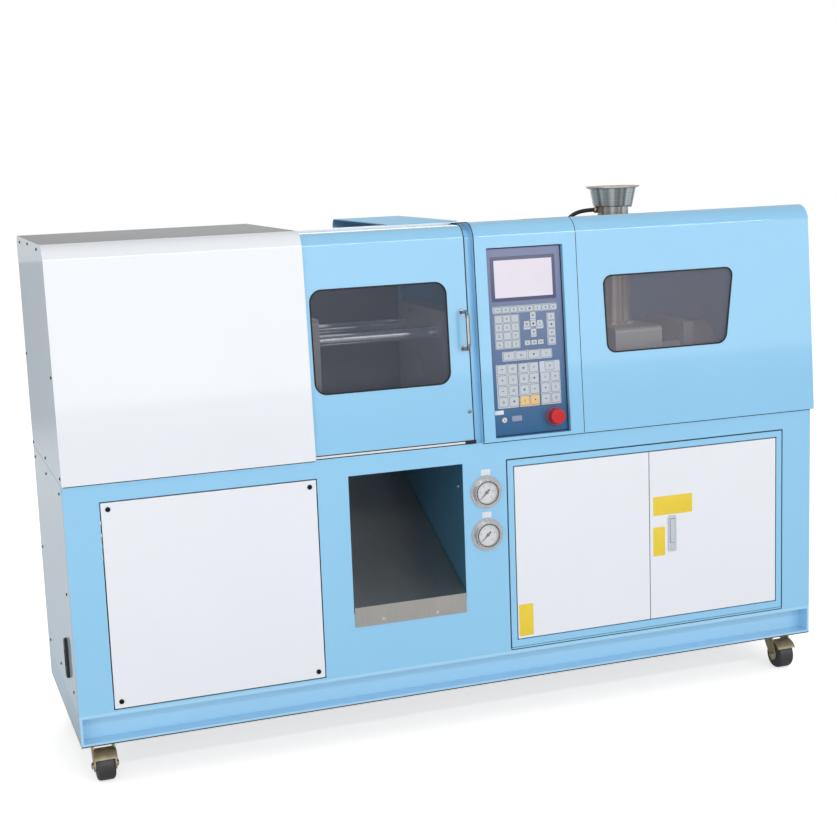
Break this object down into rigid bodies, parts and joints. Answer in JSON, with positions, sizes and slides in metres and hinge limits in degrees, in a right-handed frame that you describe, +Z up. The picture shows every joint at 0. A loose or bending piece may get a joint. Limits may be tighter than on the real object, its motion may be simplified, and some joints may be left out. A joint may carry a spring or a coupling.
{
  "type": "micro injection molding machine",
  "caption": "Floor-standing micro injection molding machine on castors: clamp unit behind a sliding safety door, control column, injection unit with hopper, part chute and electrical cabinet.",
  "frame": {"origin": "on the floor under the middle of the machine's box", "axes": "+X along the machine towards the injection unit, +Y to the back, +Z up"},
  "size_m": [2.014, 0.6217, 1.35],
  "materials": {
    "blue_paint": "gloss powder coat, light blue",
    "white_paint": "gloss powder coat, white",
    "grey_paint": "satin paint",
    "machined_steel": "machined",
    "chute_steel": "brushed sheet",
    "gauge_steel": "polished steel",
    "chrome": "hard chrome",
    "clear_glass": "clear",
    "smoked_glass": "smoked acrylic",
    "pointer_black": "black lacquer",
    "black_plastic": "moulded",
    "latch_grey": "satin nickel",
    "module_grey": "moulded",
    "panel_blue": "satin foil",
    "screen_glass": "display",
    "key_grey": "embossed foil",
    "stop_red": "moulded",
    "band_steel": "mica band sheath",
    "hopper_steel": "spun stainless",
    "hose_rubber": "matt",
    "zinc_yellow": "yellow zinc",
    "wheel_black": "moulded"
  },
  "bodies": {
    "frame": {"base_rails": "blue_paint", "base_frame": "grey_paint", "bed_plate": "machined_steel", "base_front": "blue_paint", "access_panel": "white_paint", "base_wrap": "blue_paint", "end_panel_lower": "white_paint", "oil_level_gauge": "black_plastic", "chute": "chute_steel", "chute_walls": "blue_paint", "oil_tank": "grey_paint", "power_unit": "grey_paint", "gauge_cases": "gauge_steel", "gauge_lenses": "clear_glass", "cabinet_box": "blue_paint", "cabinet_hinge_pins": "machined_steel", "electrical_panel": "module_grey", "clamp_cover": "white_paint", "end_panel_upper": "white_paint", "door_rails": "chrome", "rear_guard": "blue_paint", "control_column": "blue_paint", "hmi_panel": "panel_blue", "hmi_screen": "screen_glass", "hmi_keys": "key_grey", "injection_cover": "blue_paint", "injection_window": "smoked_glass", "rear_platen": "machined_steel", "fixed_platen": "machined_steel", "tie_bars": "chrome", "carriage_guides": "chrome"},
    "safety_door": {"safety_door": "blue_paint", "door_window": "smoked_glass", "door_handle": "chrome"},
    "clamp": {"moving_platen": "machined_steel", "clamp_ram": "chrome"},
    "ejector": {"ejector_bar": "machined_steel"},
    "carriage": {"feed_block": "machined_steel", "barrel": "machined_steel", "heater_bands": "band_steel", "hopper": "hopper_steel", "hopper_tube": "hopper_steel", "hopper_hose": "hose_rubber"},
    "injection": {"injection_drive": "machined_steel"},
    "screw": {"screw": "machined_steel"},
    "estop": {"estop_button": "stop_red"},
    "pointer_upper": {"gauge_pointer_upper": "pointer_black"},
    "pointer_lower": {"gauge_pointer_lower": "pointer_black"},
    "left_cabinet_door": {"cabinet_door_left": "white_paint"},
    "right_cabinet_door": {"cabinet_door_right": "white_paint", "latch_housing": "latch_grey"},
    "latch": {"latch_paddle": "latch_grey"},
    "swivel_front_left": {"castor_fork_front_left": "zinc_yellow"},
    "wheel_front_left": {"castor_wheel_front_left": "wheel_black"},
    "swivel_rear_left": {"castor_fork_rear_left": "zinc_yellow"},
    "wheel_rear_left": {"castor_wheel_rear_left": "wheel_black"},
    "swivel_front_right": {"castor_fork_front_right": "zinc_yellow"},
    "wheel_front_right": {"castor_wheel_front_right": "wheel_black"},
    "swivel_rear_right": {"castor_fork_rear_right": "zinc_yellow"},
    "wheel_rear_right": {"castor_wheel_rear_right": "wheel_black"}
  },
  "joints": [
    {"name": "door_slide", "type": "slide", "parent": "frame", "child": "safety_door", "axis": [-1, 0, 0], "range_m": [0, 0.38]},
    {"name": "clamp_slide", "type": "slide", "parent": "frame", "child": "clamp", "axis": [1, 0, 0], "range_m": [0, 0.18]},
    {"name": "ejector_slide", "type": "slide", "parent": "clamp", "child": "ejector", "axis": [1, 0, 0], "range_m": [0, 0.04]},
    {"name": "carriage_slide", "type": "slide", "parent": "frame", "child": "carriage", "axis": [1, 0, 0], "range_m": [0, 0.06]},
    {"name": "injection_slide", "type": "slide", "parent": "carriage", "child": "injection", "axis": [1, 0, 0], "range_m": [0, 0.08]},
    {"name": "screw_spin", "type": "hinge", "parent": "injection", "child": "screw", "pos_m": [0.5, 0.01125, 0.903], "axis": [1, 0, 0], "continuous": true},
    {"name": "estop_push", "type": "slide", "parent": "frame", "child": "estop", "axis": [0, 0.9978, -0.0659], "range_m": [0, 0.005], "stiffness_N_per_m": 1500},
    {"name": "left_door_hinge", "type": "hinge", "parent": "frame", "child": "left_cabinet_door", "pos_m": [0.13, -0.28375, 0.4395], "axis": [0, 0, -1], "range_deg": [0, 110]},
    {"name": "right_door_hinge", "type": "hinge", "parent": "frame", "child": "right_cabinet_door", "pos_m": [0.886, -0.28375, 0.4395], "axis": [0, 0, 1], "range_deg": [0, 110]},
    {"name": "latch_hinge", "type": "hinge", "parent": "right_cabinet_door", "child": "latch", "pos_m": [0.574, -0.29075, 0.4766], "axis": [-1, 0, 0], "range_deg": [0, 45]},
    {"name": "pointer_upper_turn", "type": "hinge", "parent": "frame", "child": "pointer_upper", "pos_m": [0.046, -0.29275, 0.61], "axis": [0, 1, 0], "range_deg": [0, 270], "stiffness_Nm_per_rad": 0.0005},
    {"name": "pointer_lower_turn", "type": "hinge", "parent": "frame", "child": "pointer_lower", "pos_m": [0.046, -0.29275, 0.5], "axis": [0, 1, 0], "range_deg": [0, 270], "stiffness_Nm_per_rad": 0.0005},
    {"name": "swivel_front_left_turn", "type": "hinge", "parent": "frame", "child": "swivel_front_left", "pos_m": [-0.942, -0.20875, 0.105], "axis": [0, 0, 1], "continuous": true},
    {"name": "wheel_front_left_roll", "type": "hinge", "parent": "swivel_front_left", "child": "wheel_front_left", "pos_m": [-0.942, -0.23675, 0.0375], "axis": [1, 0, 0], "continuous": true},
    {"name": "swivel_rear_left_turn", "type": "hinge", "parent": "frame", "child": "swivel_rear_left", "pos_m": [-0.942, 0.23125, 0.105], "axis": [0, 0, 1], "continuous": true},
    {"name": "wheel_rear_left_roll", "type": "hinge", "parent": "swivel_rear_left", "child": "wheel_rear_left", "pos_m": [-0.942, 0.20325, 0.0375], "axis": [1, 0, 0], "continuous": true},
    {"name": "swivel_front_right_turn", "type": "hinge", "parent": "frame", "child": "swivel_front_right", "pos_m": [0.942, -0.20875, 0.105], "axis": [0, 0, 1], "continuous": true},
    {"name": "wheel_front_right_roll", "type": "hinge", "parent": "swivel_front_right", "child": "wheel_front_right", "pos_m": [0.942, -0.23675, 0.0375], "axis": [1, 0, 0], "continuous": true},
    {"name": "swivel_rear_right_turn", "type": "hinge", "parent": "frame", "child": "swivel_rear_right", "pos_m": [0.942, 0.23125, 0.105], "axis": [0, 0, 1], "continuous": true},
    {"name": "wheel_rear_right_roll", "type": "hinge", "parent": "swivel_rear_right", "child": "wheel_rear_right", "pos_m": [0.942, 0.20325, 0.0375], "axis": [1, 0, 0], "continuous": true}
  ]
}
